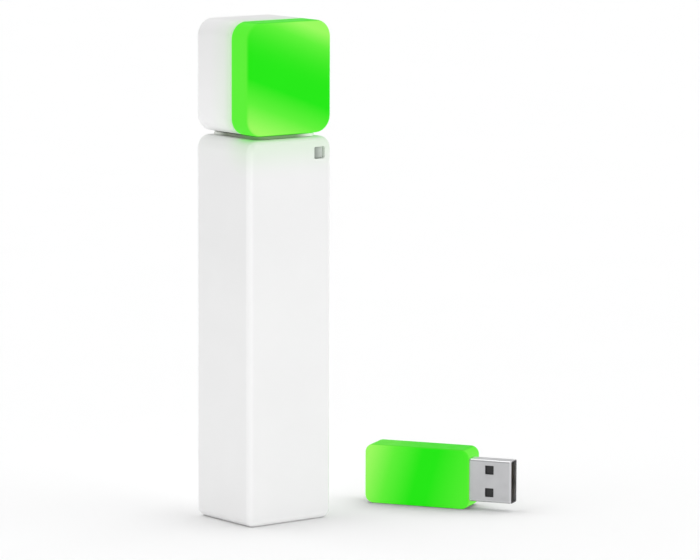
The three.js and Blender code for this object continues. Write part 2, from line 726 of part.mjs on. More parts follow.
function dongleHalf(yLow, yHigh) {
  const corner = dongleCornerRadius;
  const inside = corner - dongleWall;
  const outline = roundedOutline(dongleLength, 0, dongleHeight, corner, corner);
  const cavityOutline = roundedOutline(
    dongleLength - 2 * dongleWall, dongleWall, dongleHeight - dongleWall, inside, inside,
  );
  const body = slab(outline, -dongleHalfThickness, dongleHalfThickness, dongleEdgeRadius);
  const cavityHalf = dongleHalfThickness - dongleWall;
  const cavity = slab(cavityOutline, -cavityHalf, cavityHalf, 0);
  const plugSlot = block(
    [plugRear, plugTip],
    [plugShift - plugThickness / 2 - pieceGap / 2, plugShift + plugThickness / 2 + pieceGap / 2],
    [plugMiddle - plugHeight / 2 - pieceGap / 2, plugMiddle + plugHeight / 2 + pieceGap / 2],
  );
  const height = [-overshoot, dongleHeight + overshoot];
  const limits = block([-dongleLength, dongleLength], [yLow, yHigh], height);
  return keepWithin(cut(body, cavity, plugSlot), limits);
}

function plugShell() {
  const corner = plugCornerRadius;
  const inside = corner - plugWall / 2;
  const half = plugHeight / 2;
  const outerOutline = roundedOutline(plugThickness, -half, half, corner, corner);
  const innerOutline = roundedOutline(
    plugThickness - 2 * plugWall, -half + plugWall, half - plugWall, inside, inside,
  );
  const outer = slab(outerOutline, plugRear, plugTip, 0);
  const inner = slab(innerOutline, plugRear - overshoot, plugTip + overshoot, 0);
  const tube = cut(outer, inner);
  tube.rotateZ(-Math.PI / 2);
  place(tube, 0, plugShift, plugMiddle);
  const reach = plugHole.size / 2;
  const holeX = plugTip - plugHole.fromTip;
  const holes = [-1, 1].map((side) => {
    const z = plugMiddle + side * plugHole.apart / 2;
    return block([holeX - reach, holeX + reach], [-plugThickness, plugThickness], [z - reach, z + reach]);
  });
  return cut(tube, ...holes);
}

function plugTongue() {
  return block(
    [plugRear + pieceGap, plugTip - tongue.reach],
    [tongue.yLow, tongue.yHigh],
    [plugMiddle - tongue.halfHeight, plugMiddle + tongue.halfHeight],
  );
}

function plugContact(z) {
  const tip = plugTip - tongue.reach - pieceGap;
  return block(
    [tip - contact.length, tip],
    [tongue.yHigh + contactGap, tongue.yHigh + contactGap + contact.thickness],
    [plugMiddle + z - contact.width / 2, plugMiddle + z + contact.width / 2],
  );
}

/** A component on one face of the dongle's board; its heights are counted from the plug's middle. */
function onDongleBoard({ x, z, height }, side) {
  const seat = side * (dongleBoard.halfThickness + contactGap);
  const depth = [seat, seat + side * height].sort((a, b) => a - b);
  return block(x, depth, z.map((offset) => plugMiddle + offset));
}

const dongleBoardSolid = block(
  [dongleBoard.xLow, dongleBoard.xHigh],
  [-dongleBoard.halfThickness, dongleBoard.halfThickness],
  [plugMiddle - dongleBoard.halfHeight, plugMiddle + dongleBoard.halfHeight],
);
addPart(dongle, 'dongle_front_shell', dongleHalf(-dongleThickness, -seam / 2), greenLens);
addPart(dongle, 'dongle_rear_shell', dongleHalf(seam / 2, dongleThickness), greenLens);
addPart(dongle, 'dongle_board', dongleBoardSolid, boardGreen);
addPart(dongle, 'dongle_radio_chip', onDongleBoard(radioChip, frontFace), chipBlack);
addPart(dongle, 'dongle_crystal', onDongleBoard(crystal, frontFace), platedSteel);
addPart(dongle, 'dongle_led_1', onDongleBoard(dongleLed, frontFace), ledWhite);
addPart(dongle, 'dongle_led_2', onDongleBoard(dongleLed, backFace), ledWhite);
addPart(dongle, 'usb_plug_shell', plugShell(), plugSteel);
addPart(dongle, 'usb_plug_tongue', plugTongue(), blackPlastic);
contact.heights.forEach((z, index) => addPart(dongle, `usb_contact_${index + 1}`, plugContact(z), gold));

export default statusLight;
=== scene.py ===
import json
import math

import bmesh
import bpy
from mathutils import Matrix, Vector


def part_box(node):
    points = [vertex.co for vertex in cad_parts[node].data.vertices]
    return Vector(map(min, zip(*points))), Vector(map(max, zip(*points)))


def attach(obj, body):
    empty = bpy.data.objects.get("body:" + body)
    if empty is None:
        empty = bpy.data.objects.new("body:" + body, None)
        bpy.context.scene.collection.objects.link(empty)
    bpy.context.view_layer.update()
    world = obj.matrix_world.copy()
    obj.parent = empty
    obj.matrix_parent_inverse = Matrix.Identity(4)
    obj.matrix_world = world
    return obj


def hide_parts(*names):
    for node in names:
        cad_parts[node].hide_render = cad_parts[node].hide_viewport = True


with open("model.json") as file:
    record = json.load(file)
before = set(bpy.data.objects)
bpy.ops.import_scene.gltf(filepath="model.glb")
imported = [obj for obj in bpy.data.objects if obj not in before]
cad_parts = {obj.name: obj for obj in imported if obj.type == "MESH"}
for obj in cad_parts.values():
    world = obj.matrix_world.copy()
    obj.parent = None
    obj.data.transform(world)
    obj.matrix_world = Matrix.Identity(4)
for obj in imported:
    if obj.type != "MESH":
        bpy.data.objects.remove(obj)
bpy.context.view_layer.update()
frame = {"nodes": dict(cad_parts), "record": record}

# A slim desk status light with its radio dongle. Metres, +Z up, -Y is the lit front.

MM = 0.001


# ------------------------------------------------------------------ sizes taken from the frame

def span(node, axis):
    """Lowest and highest value of a CAD node along one axis."""
    low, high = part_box(node)
    return low[axis], high[axis]


def corners_of(points):
    """Lowest and highest corner of the box round some points."""
    low = Vector(min(point[axis] for point in points) for axis in range(3))
    high = Vector(max(point[axis] for point in points) for axis in range(3))
    return low, high


def local_span(nodes, matrix):
    """Lowest and highest corner of CAD nodes in the space that matrix leads out of."""
    inverse = matrix.inverted()
    return corners_of([
        inverse @ vertex.co for name in nodes for vertex in frame["nodes"][name].data.vertices
    ])


COLUMN_LOW, COLUMN_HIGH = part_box("column_shell")
HEAD_LOW, HEAD_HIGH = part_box("head_rear_shell")
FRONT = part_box("head_diffuser")[0].y
BACK = HEAD_HIGH.y
HALF_WIDTH = COLUMN_HIGH.x
TOWER_HEIGHT = HEAD_HIGH.z
WALL = 1.8 * MM
EDGE_RADIUS = 1.4 * MM
HEAD_CORNER = 4.7 * MM
COLUMN_TOP_CORNER = 3.5 * MM
COLUMN_BASE_CORNER = 2.4 * MM
LENS_DEPTH = 7.9 * MM
SEAM_Y = (span("head_rear_shell", 1)[0] + FRONT + LENS_DEPTH) / 2
SEAM_GAP = 0.14 * MM
LIP_RADIUS = 0.18 * MM

DONGLE_SHELLS = ("dongle_front_shell", "dongle_rear_shell")


def dongle_matrix():
    """The dongle's own space: +X towards the plug, +Z up, from the desk under its centre."""
    mounts = {mount["name"]: mount for mount in frame["record"]["mounts"]}
    forward = mounts["usb_plug_tip"]["axis"]
    turn = math.atan2(forward[1], forward[0])
    boxes = [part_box(name) for name in DONGLE_SHELLS]
    centre = [
        (min(low[axis] for low, _ in boxes) + max(high[axis] for _, high in boxes)) / 2
        for axis in range(2)
    ]
    return Matrix.Translation((centre[0], centre[1], 0)) @ Matrix.Rotation(turn, 4, "Z")


DONGLE = dongle_matrix()
DONGLE_LOW, DONGLE_HIGH = local_span(DONGLE_SHELLS, DONGLE)
PLUG_LOW, PLUG_HIGH = local_span(["usb_plug_shell"], DONGLE)


# ------------------------------------------------------------------ mesh building

def mesh_object(name, points, faces):
    mesh = bpy.data.meshes.new(name)
    mesh.from_pydata([tuple(point) for point in points], [], faces)
    mesh.validate()
    piece = bpy.data.objects.new(name, mesh)
    bpy.context.scene.collection.objects.link(piece)
    return piece


def face_outward(piece):
    bm = bmesh.new()
    bm.from_mesh(piece.data)
    bmesh.ops.recalc_face_normals(bm, faces=bm.faces)
    bm.to_mesh(piece.data)
    bm.free()
    return piece


CORNER_STEPS = 12
SMALL_CORNER_STEPS = 6
FILLET_STEPS = 7
LEAST_CORNER = 0.02 * MM


def rounded_ring(x_span, z_span, corners, inset, y, steps=CORNER_STEPS):
    """An upright rounded rectangle at depth y, pulled in by inset.

    corners is (bottom radius, top radius).
    """
    x_low, x_high = x_span[0] + inset, x_span[1] - inset
    z_low, z_high = z_span[0] + inset, z_span[1] - inset
    bottom = max(corners[0] - inset, LEAST_CORNER)
    top = max(corners[1] - inset, LEAST_CORNER)
    centres = (
        (x_high - bottom, z_low + bottom, bottom, -90),
        (x_high - top, z_high - top, top, 0),
        (x_low + top, z_high - top, top, 90),
        (x_low + bottom, z_low + bottom, bottom, 180),
    )
    ring = []
    for centre_x, centre_z, radius, start in centres:
        for step in range(steps + 1):
            angle = math.radians(start + 90 * step / steps)
            ring.append(Vector((
                centre_x + radius * math.cos(angle), y, centre_z + radius * math.sin(angle),
            )))
    return ring


def level_ring(low, high, corner, inset, height):
    """A level rounded rectangle at a height, within the plan of the box from low to high."""
    flat = rounded_ring((low.x, high.x), (low.y, high.y), (corner, corner), inset, 0.0)
    return [Vector((point.x, point.z, height)) for point in flat]


def strip(low, high, count):
    """The quads between two rings of count points, which start at the indices low and high."""
    return [
        (low + step, high + step, high + (step + 1) % count, low + (step + 1) % count)
        for step in range(count)
    ]


def loft(name, rings):
    """A closed body through rings of equal length, with a flat cap at each end."""
    count = len(rings[0])
    points = [point for ring in rings for point in ring]
    faces = [tuple(range(count))]
    faces.append(tuple(range(len(points) - 1, len(points) - count - 1, -1)))
    for level in range(len(rings) - 1):
        faces += strip(level * count, (level + 1) * count, count)
    return face_outward(mesh_object(name, points, faces))


def tube(name, rings):
    """A hollow body: rings run along the outside, over the rim and back along the inside."""
    count = len(rings[0])
    points = [point for ring in rings for point in ring]
    faces = []
    for level in range(len(rings)):
        faces += strip(level * count, (level + 1) % len(rings) * count, count)
    return face_outward(mesh_object(name, points, faces))


def fillet(inset, y, radius, direction, steps=FILLET_STEPS):
    """(inset, depth) steps from a flat face at depth y out to full size.

    direction is +1 for a front face and -1 for a back face.
    """
    return [
        (
            inset + radius * (1 - math.sin(math.radians(90 * step / steps))),
            y + direction * radius * (1 - math.cos(math.radians(90 * step / steps))),
        )
        for step in range(steps + 1)
    ]


def block_profile(y_front, y_back, edge):
    """The (inset, depth) profile of a body whose front and back edges are both rounded."""
    return fillet(0, y_front, edge, 1) + fillet(0, y_back, edge, -1)[::-1]


def cup_profile(y_closed, y_open, edge, wall, lip, direction):
    """The profile of a hollow cup, closed at y_closed, with a rounded lip at y_open."""
    outside = fillet(0, y_closed, edge, direction)
    lip_out = fillet(0, y_open, lip, -direction)[::-1]
    lip_in = [(wall - inset, y) for inset, y in fillet(0, y_open, lip, -direction)]
    inner_edge = max(edge - wall / 2, lip)
    inside = fillet(wall, y_closed + direction * wall, inner_edge, direction)[::-1]
    return outside + lip_out + lip_in + inside


def rounded_body(name, x_span, z_span, corners, profile):
    return loft(name, [rounded_ring(x_span, z_span, corners, inset, y) for inset, y in profile])


def cylinder_cutter(radius, z_low, z_high, sides=96):
    """A round cutter on the tower's upright axis."""
    angles = [2 * math.pi * side / sides for side in range(sides)]
    rings = [
        [Vector((radius * math.cos(angle), radius * math.sin(angle), z)) for angle in angles]
        for z in (z_low, z_high)
    ]
    return loft("cutter", rings)


def block_cutter(x_span, y_span, z_span, corner):
    """A cutter along Y with rounded corners in its upright section."""
    rings = [
        rounded_ring(x_span, z_span, (corner, corner), 0, y, steps=SMALL_CORNER_STEPS) for y in y_span
    ]
    return loft("cutter", rings)


def cut(piece, *cutters):
    for cutter in cutters:
        modifier = piece.modifiers.new("cut", "BOOLEAN")
        modifier.object = cutter
        modifier.operation = "DIFFERENCE"
        modifier.solver = "EXACT"
    apply_modifiers(piece)
    for cutter in cutters:
        bpy.data.objects.remove(cutter)
    return piece


def apply_modifiers(piece):
    bpy.context.view_layer.update()
    graph = bpy.context.evaluated_depsgraph_get()
    mesh = bpy.data.meshes.new_from_object(piece.evaluated_get(graph))
    piece.modifiers.clear()
    piece.data = mesh
    return piece


SHARP_ANGLE = math.radians(32)
CREASE_ANGLE = math.radians(50)


def bevel_edges(piece, width, segments, angle):
    """Rounds every edge sharper than angle."""
    bevel = piece.modifiers.new("soft edges", "BEVEL")
    bevel.width = width
    bevel.segments = segments
    bevel.limit_method = "ANGLE"
    bevel.angle_limit = angle


def soften(piece, width, segments=3):
    """Rounds the sharp edges, then shades the piece smooth with flat faces kept flat."""
    bevel_edges(piece, width, segments, SHARP_ANGLE)
    apply_modifiers(piece)
    return smooth(piece)


def smooth(piece):
    for polygon in piece.data.polygons:
        polygon.use_smooth = True
    weighted = piece.modifiers.new("flat faces", "WEIGHTED_NORMAL")
    weighted.keep_sharp = True
    piece.data.set_sharp_from_angle(angle=CREASE_ANGLE)
    return piece


def finish_piece(piece, body, material, node, matrix=None):
    """Gives a piece its place, material and body, and hides the CAD node that it stands for."""
    if matrix is not None:
        piece.data.transform(matrix)
    piece.data.materials.clear()
    piece.data.materials.append(material)
    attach(piece, body)
    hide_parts(node)
    return piece


# ------------------------------------------------------------------ materials

# Nearly all of a noise texture's values lie between these two.
NOISE_LOW = 0.3
NOISE_HIGH = 0.7


class Surface:
    """A Principled material and the few node chains that its patterns are made of."""

    def __init__(self, name, **constants):
        self.material = bpy.data.materials.new(name)
        self.material.use_nodes = True
        self.tree = self.material.node_tree
        self.shader = self.tree.nodes["Principled BSDF"]
        self.place = self.node("ShaderNodeTexCoord").outputs["Object"]
        for socket, value in constants.items():
            self.shader.inputs[socket.replace("_", " ")].default_value = value

    def node(self, kind, **settings):
        made = self.tree.nodes.new(kind)
        for key, value in settings.items():
            setattr(made, key, value)
        return made

    def link(self, source, target):
        self.tree.links.new(source, target)

    def feed(self, socket, value):
        """Links a socket to another node's output, or sets it to a constant."""
        if isinstance(value, bpy.types.NodeSocket):
            self.link(value, socket)
        else:
            socket.default_value = value

    def set(self, socket, value):
        self.feed(self.shader.inputs[socket], value)

    def maths(self, operation, first, second=0.0):
        made = self.node("ShaderNodeMath", operation=operation)
        self.feed(made.inputs[0], first)
        self.feed(made.inputs[1], second)
        return made.outputs[0]

    def remap(self, value, low, high, to_low=0.0, to_high=1.0, kind="SMOOTHSTEP"):
        made = self.node("ShaderNodeMapRange", interpolation_type=kind)
        for index, number in enumerate((value, low, high, to_low, to_high)):
            self.feed(made.inputs[index], number)
        return made.outputs[0]

    def axes(self, matrix=None):
        """X, Y and Z of the surface point in the frame, or in the space that matrix leads out of."""
        point = self.place
        if matrix is not None:
            mapping = self.node("ShaderNodeMapping", vector_type="POINT")
            inverse = matrix.inverted()
            mapping.inputs["Location"].default_value = inverse.to_translation()
            mapping.inputs["Rotation"].default_value = inverse.to_euler()
            self.link(point, mapping.inputs["Vector"])
            point = mapping.outputs[0]
        split = self.node("ShaderNodeSeparateXYZ")
        self.link(point, split.inputs[0])
        return split.outputs

    def noise(self, size, detail=3.0, stretch=None):
        """Noise whose features are about size metres across, on an optional stretched grid."""
        point = self.place
        if stretch is not None:
            mapping = self.node("ShaderNodeMapping")
            mapping.inputs["Scale"].default_value = stretch
            self.link(point, mapping.inputs["Vector"])
            point = mapping.outputs[0]
        made = self.node("ShaderNodeTexNoise")
        made.inputs["Scale"].default_value = 1 / size
        made.inputs["Detail"].default_value = detail
        self.link(point, made.inputs["Vector"])
        return made.outputs["Fac"]

    def ramp(self, value, *stops):
        made = self.node("ShaderNodeValToRGB")
        elements = made.color_ramp.elements
        while len(elements) < len(stops):
            elements.new(0.5)
        for element, (place, colour) in zip(elements, stops):
            element.position = place
            element.color = (*colour, 1.0)
        self.feed(made.inputs["Fac"], value)
        return made.outputs["Color"]

    def drift(self, noise, first, second):
        """A colour that wanders between two with a noise value."""
        return self.ramp(noise, (NOISE_LOW, first), (NOISE_HIGH, second))

    def vary(self, noise, low, high):
        """A number that wanders between two with a noise value."""
        return self.remap(noise, NOISE_LOW, NOISE_HIGH, low, high)

    def mix(self, factor, first, second):
        made = self.node("ShaderNodeMix", data_type="RGBA")
        self.feed(made.inputs[0], factor)
        for socket, value in ((made.inputs[6], first), (made.inputs[7], second)):
            self.feed(socket, value if isinstance(value, bpy.types.NodeSocket) else (*value, 1.0))
        return made.outputs[2]

    def bump(self, height, distance, strength):
        made = self.node("ShaderNodeBump")
        made.inputs["Strength"].default_value = strength
        made.inputs["Distance"].default_value = distance
        self.link(height, made.inputs["Height"])
        self.link(made.outputs[0], self.shader.inputs["Normal"])


def srgb(red, green, blue):
    """A display colour, each channel 0 to 255, as linear light."""
    return tuple(
        channel / 255 / 12.92 if channel <= 10 else ((channel / 255 + 0.055) / 1.055) ** 2.4
        for channel in (red, green, blue)
    )


def grey(level):
    """A neutral colour, 0 to 1 in linear light."""
    return (level, level, level)


WHITE_LEVEL = 0.86
WHITE_DRIFT = 0.012
# Painted highlight: a lighter white on the left upright edges.
EDGE_HIGHLIGHT_WHITE = grey(0.95)
# Painted light: a whiter band along the bottom rim, which lifts the shade near the desk.
PAINTED_RIM_LIGHT = grey(0.97)
PAINTED_RIM_HEIGHT = 2.2 * MM
PAINTED_RIM_SHARE = 0.8
# Painted green lamp light on the white shells.
PAINTED_LAMP_GLOW = (0.60, 0.84, 0.55)


def uneven_white(surface, flow, level):
    return surface.drift(flow, grey(level - WHITE_DRIFT), grey(level + WHITE_DRIFT))


def moulded_white(name, painted_glow=None, heights=None, levels=(WHITE_LEVEL, WHITE_LEVEL)):
    """Finely textured white plastic. painted_glow(surface) gives how much painted green lamp light lies on
    it, 0 to 1.

    Between the two heights the white moves from the first level to the second, as painted shade. A lighter
    white is painted on the left upright edges as a highlight, and along the rim that stands on the desk as
    painted light.
    """
    surface = Surface(name, IOR=1.46)
    flow = surface.noise(28 * MM)
    white = uneven_white(surface, flow, levels[0])
    if heights is not None:
        # Painted shade: the white changes with height, lighter low down and darker higher up.
        height = surface.axes()[2]
        white = surface.mix(surface.remap(height, *heights), white, uneven_white(surface, flow, levels[1]))
        # Painted highlight on the left upright edges.
        white = surface.mix(painted_edge_highlight(surface), white, EDGE_HIGHLIGHT_WHITE)
        # Painted light along the bottom rim.
        white = surface.mix(surface.remap(height, 0.0, PAINTED_RIM_HEIGHT, PAINTED_RIM_SHARE, 0.0), white, PAINTED_RIM_LIGHT)
    # Painted green lamp light from the lit cover.
    if painted_glow is not None:
        white = surface.mix(painted_glow(surface), white, PAINTED_LAMP_GLOW)
    surface.set("Base Color", white)
    surface.set("Roughness", surface.vary(surface.noise(5 * MM), 0.38, 0.46))
    surface.bump(surface.noise(0.35 * MM, detail=2), 0.012 * MM, 0.35)
    return surface.material


def painted_edge_highlight(surface):
    """Rises on the left face's rounded upright edges, where a lighter white is painted on as a highlight; 0
    on the faces.
    """
    highlight_share = 0.8
    x, y, _ = surface.axes()
    along = surface.maths("ABSOLUTE", y)
    near_side = surface.remap(x, -HALF_WIDTH + 1.3 * EDGE_RADIUS, -HALF_WIDTH + 0.6 * EDGE_RADIUS)
    near_face = surface.remap(along, BACK - 1.1 * EDGE_RADIUS, BACK - 0.5 * EDGE_RADIUS)
    return surface.maths("MULTIPLY", surface.maths("MULTIPLY", near_side, near_face), highlight_share)


def head_painted_glow(surface):
    """Painted green light from the lit cover, on the white shell just behind it."""
    near_reach, near_share = 3.6 * MM, 0.45
    far_reach, far_share = 11 * MM, 0.3
    y = surface.axes()[1]
    near = surface.maths("MULTIPLY", surface.remap(y, SEAM_Y, SEAM_Y + near_reach, 1.0, 0.0), near_share)
    far = surface.maths("MULTIPLY", surface.remap(y, SEAM_Y, SEAM_Y + far_reach, 1.0, 0.0), far_share)
    return surface.maths("ADD", near, far)


def column_painted_glow(surface):
    """Painted green light on the top of the column's front; it greens the white by darkening its red and
    blue.
    """
    reach_down = 13 * MM
    front_edge = 1.5 * MM
    reach_back = 5 * MM
    share = 0.5
    back_share = 0.12
    _, y, z = surface.axes()
    fall = surface.maths("POWER", surface.remap(z, COLUMN_HIGH.z - reach_down, COLUMN_HIGH.z), 1.6)
    front = surface.remap(y, FRONT + front_edge, SEAM_Y + reach_back, 1.0, back_share)
    return surface.maths("MULTIPLY", surface.maths("MULTIPLY", fall, front), share)


LENS_STOPS = (
    (0.0, srgb(38, 234, 22)),
    (0.5, srgb(97, 243, 58)),
    (1.0, srgb(157, 252, 98)),
)
LENS_GLOW = 0.86
LENS_BODY = 0.13
LENS_RIM = srgb(206, 244, 198)
# Painted shade: a darker green for the cover's flat top.
LENS_TOP_SHADE = srgb(60, 216, 26)
LENS_TOP_SHADE_SHARE = 0.75


def upper_face(surface, top):
    """1 on the flat upper face at height top, fading to 0 over its rounded edge."""
    fade, flat = 0.34 * MM, 0.01 * MM
    return surface.remap(surface.axes()[2], top - fade, top - flat)


def lit_lens(name, shade, rim, top):
    """Translucent cover lit from behind. shade(surface) runs from 0, deep green, to 1, yellow-green.

    rim(surface) is 1 where light leaks out at the cover's open edge.
    """
    surface = Surface(name, Specular_IOR_Level=0.02)
    # Painted shade darkens the cover's flat top.
    top_shade = surface.maths("MULTIPLY", upper_face(surface, top), LENS_TOP_SHADE_SHARE)
    colour = surface.mix(top_shade, surface.ramp(shade(surface), *LENS_STOPS), LENS_TOP_SHADE)
    colour = surface.mix(rim(surface), colour, LENS_RIM)
    cloud = surface.vary(surface.noise(7 * MM), 0.96, 1.04)
    dimmed = surface.node("ShaderNodeVectorMath", operation="SCALE")
    surface.link(colour, dimmed.inputs[0])
    surface.link(surface.maths("MULTIPLY", cloud, LENS_BODY), dimmed.inputs["Scale"])
    surface.set("Base Color", dimmed.outputs[0])
    surface.set("Emission Color", colour)
    surface.set("Emission Strength", LENS_GLOW)
    surface.set("Roughness", surface.vary(surface.noise(3 * MM), 0.30, 0.40))
    surface.bump(surface.noise(0.3 * MM, detail=2), 0.01 * MM, 0.3)
    return surface.material


def head_lens_shade(surface):
    """Deepest along a line that falls to the right, lighter below it, above it and on the sides."""
    slope = -0.37
    centre_height = 14.1 * MM
    lower_start, lower_end = 3 * MM, 16.6 * MM
    upper_end, upper_power = 17.5 * MM, 2.6
    side_shade = 0.46
    x, y, z = surface.axes()
    line = surface.maths("ADD", surface.maths("MULTIPLY", x, slope), HEAD_LOW.z + centre_height)
    above = surface.maths("SUBTRACT", z, line)
    lower = surface.remap(above, -lower_start, -lower_end, kind="LINEAR")
    upper = surface.maths("POWER", surface.remap(above, 0.0, upper_end, kind="LINEAR"), upper_power)
    blended = surface.node("ShaderNodeMix", data_type="FLOAT")
    surface.link(surface.remap(y, FRONT + 0.25 * MM, FRONT + 1.3 * MM), blended.inputs[0])
    surface.link(surface.maths("ADD", lower, upper), blended.inputs[2])
    blended.inputs[3].default_value = side_shade
    return blended.outputs[0]


def head_lens_rim(surface):
    return surface.remap(surface.axes()[1], SEAM_Y - 0.5 * MM, SEAM_Y - 0.15 * MM)


def dongle_lens_rim(surface):
    leak = 0.08
    depth = surface.maths("ABSOLUTE", surface.axes(DONGLE)[1])
    return surface.remap(depth, 0.05 * MM, 0.2 * MM, leak, 0.0)


def dongle_lens_shade(surface):
    """Deepest a little towards the plug, lighter at both ends and along the edges."""
    lean = -0.28
    far_start, far_power = 0.2 * MM, 1.15
    near_start, near_shade = 4.5 * MM, 0.33
    side_shade = 0.3
    x, y, z = surface.axes(DONGLE)
    middle = (DONGLE_LOW.z + DONGLE_HIGH.z) / 2
    leant = surface.maths("MULTIPLY", surface.maths("SUBTRACT", z, middle), lean)
    along = surface.maths("ADD", x, leant)
    far = surface.maths("POWER", surface.remap(along, far_start, DONGLE_LOW.x, kind="LINEAR"), far_power)
    near = surface.remap(along, near_start, DONGLE_HIGH.x, 0.0, near_shade, "LINEAR")
    depth = surface.maths("ABSOLUTE", y)
    sides = surface.remap(depth, DONGLE_HIGH.y - 0.25 * MM, DONGLE_HIGH.y - 1.0 * MM, 0.0, side_shade)
    return surface.maths("ADD", surface.maths("ADD", far, near), sides)


ROLLED = (1, 1, 0.06)


def pressed_steel(name, colour, roughness):
    """Plated sheet metal with faint rolling lines and fingerprints' dulling."""
    surface = Surface(name, Metallic=1.0)
    smudge = surface.noise(4 * MM)
    darker = tuple(channel * 0.9 for channel in colour)
    surface.set("Base Color", surface.drift(smudge, darker, colour))
    surface.set("Roughness", surface.vary(smudge, roughness - 0.05, roughness + 0.08))
    surface.bump(surface.noise(0.25 * MM, detail=4, stretch=ROLLED), 0.004 * MM, 0.5)
    return surface.material


PLUG_DULL = srgb(188, 188, 190)
PLUG_CLEAR = srgb(198, 198, 200)
# Painted shade for the fold and the cut end, painted highlights for the mouth, the underside and the turn.
PLUG_FOLD_SHADE = srgb(150, 150, 153)
PLUG_MOUTH_HIGHLIGHT = srgb(208, 208, 210)
PLUG_UNDER_HIGHLIGHT = srgb(220, 220, 222)
PLUG_TURN_HIGHLIGHT = srgb(222, 222, 224)
PLUG_CUT_EDGE_SHADE = srgb(92, 92, 95)


def plug_metal(name):
    """The plug's steel: grey on its broad faces, with painted highlights near the mouth, along the lower
    edge and where it turns over, painted shade on the fold just below the turn and a painted dark cut end.
    """
    surface = Surface(name, Metallic=1.0)
    x, _, z = surface.axes(DONGLE)
    smudge = surface.noise(4 * MM)
    fold_shade_share = 0.8

    def near(coordinate, end, start, full):
        """Rises from 0 to 1 between two distances short of an end of the plug."""
        return surface.remap(coordinate, end - start, end - full)

    # Painted shade on the fold, painted highlights near the mouth, along the lower edge and over the turn,
    # painted shade on the cut end.
    fold_shade = near(z, PLUG_HIGH.z, 0.62 * MM, 0.40 * MM)
    turn = near(z, PLUG_HIGH.z, 0.36 * MM, 0.18 * MM)
    mouth = near(x, PLUG_HIGH.x, 0.75 * MM, 0.55 * MM)
    cut_edge_shade = near(x, PLUG_HIGH.x, 0.10 * MM, 0.04 * MM)
    under = near(z, PLUG_LOW.z, -0.8 * MM, -0.2 * MM)
    colour = surface.drift(smudge, PLUG_DULL, PLUG_CLEAR)
    colour = surface.mix(surface.maths("MULTIPLY", fold_shade, fold_shade_share), colour, PLUG_FOLD_SHADE)
    colour = surface.mix(mouth, colour, PLUG_MOUTH_HIGHLIGHT)
    colour = surface.mix(under, colour, PLUG_UNDER_HIGHLIGHT)
    colour = surface.mix(turn, colour, PLUG_TURN_HIGHLIGHT)
    colour = surface.mix(cut_edge_shade, colour, PLUG_CUT_EDGE_SHADE)
    surface.set("Base Color", colour)
    surface.set("Roughness", surface.vary(smudge, 0.30, 0.42))
    surface.bump(surface.noise(0.25 * MM, detail=4, stretch=ROLLED), 0.003 * MM, 0.4)
    return surface.material


GRAIN_SIZE = 0.3 * MM
GRAIN_DEPTH = 0.012 * MM
GRAIN_STRENGTH = 0.5


def moulded(name, colour, roughness, grain_size=GRAIN_SIZE, grain_depth=GRAIN_DEPTH):
    """Plain moulded plastic or rubber with a fine grain and slightly uneven colour and sheen."""
    surface = Surface(name)
    flow = surface.noise(6 * MM)
    light = tuple(min(channel * 1.15 + 0.004, 1) for channel in colour)
    surface.set("Base Color", surface.drift(flow, colour, light))
    surface.set("Roughness", surface.vary(flow, roughness - 0.05, roughness + 0.05))
    surface.bump(surface.noise(grain_size, detail=2), grain_depth, GRAIN_STRENGTH)
    return surface.material


def button_plastic(name):
    """Satin grey plastic, darker at the left where the pocket's wall shades it."""
    surface = Surface(name)
    shaded, clear = srgb(100, 109, 100), srgb(206, 213, 206)
    across = surface.remap(surface.axes()[0], *span("status_button", 0), kind="LINEAR")
    flow = surface.maths("MULTIPLY", surface.noise(3 * MM), 0.1)
    shade = surface.maths("ADD", across, flow)
    surface.set("Base Color", surface.ramp(shade, (0.25, shaded), (0.95, clear)))
    surface.set("Roughness", surface.vary(surface.noise(2 * MM), 0.45, 0.55))
    surface.bump(surface.noise(GRAIN_SIZE, detail=2), GRAIN_DEPTH, GRAIN_STRENGTH)
    return surface.material


# FELT's grey also stands in for the gap's shade; the next two colours are painted light.
FELT = srgb(132, 140, 124)
FELT_PAINTED_LENS_LIGHT = srgb(118, 152, 106)
FELT_PAINTED_DAYLIGHT = srgb(244, 248, 241)
FELT_FIBRE = srgb(120, 126, 112)


def neck_felt(name):
    """Grey felt whose grey also stands in for the shade in the gap, with painted green light under the lit
    cover and painted light, paler, at the two corners where daylight gets in.
    """
    surface = Surface(name)
    lens_reach = 9 * MM
    fibre_share = 0.10
    x, y, _ = surface.axes()
    front, back = span("friction_pad", 1)
    corner_start, corner_full = 0.60 * (back - front), 0.88 * (back - front)
    # Painted green light under the lit cover.
    painted_lens_light = surface.remap(y, front, front + lens_reach, 1.0, 0.0)
    colour = surface.mix(painted_lens_light, FELT, FELT_PAINTED_LENS_LIGHT)
    # Painted light at the two corners where daylight gets in.
    diagonal = surface.maths("ABSOLUTE", surface.maths("SUBTRACT", x, y))
    daylight = surface.remap(diagonal, corner_start, corner_full)
    fibre = surface.noise(0.5 * MM, detail=2)
    colour = surface.mix(daylight, colour, FELT_PAINTED_DAYLIGHT)
    colour = surface.mix(surface.maths("MULTIPLY", fibre, fibre_share), colour, FELT_FIBRE)
    surface.set("Base Color", colour)
    surface.set("Roughness", surface.vary(fibre, 0.75, 0.9))
    surface.bump(fibre, 0.03 * MM, 0.5)
    return surface.material


TRACK_PATTERN_SCALE = 260


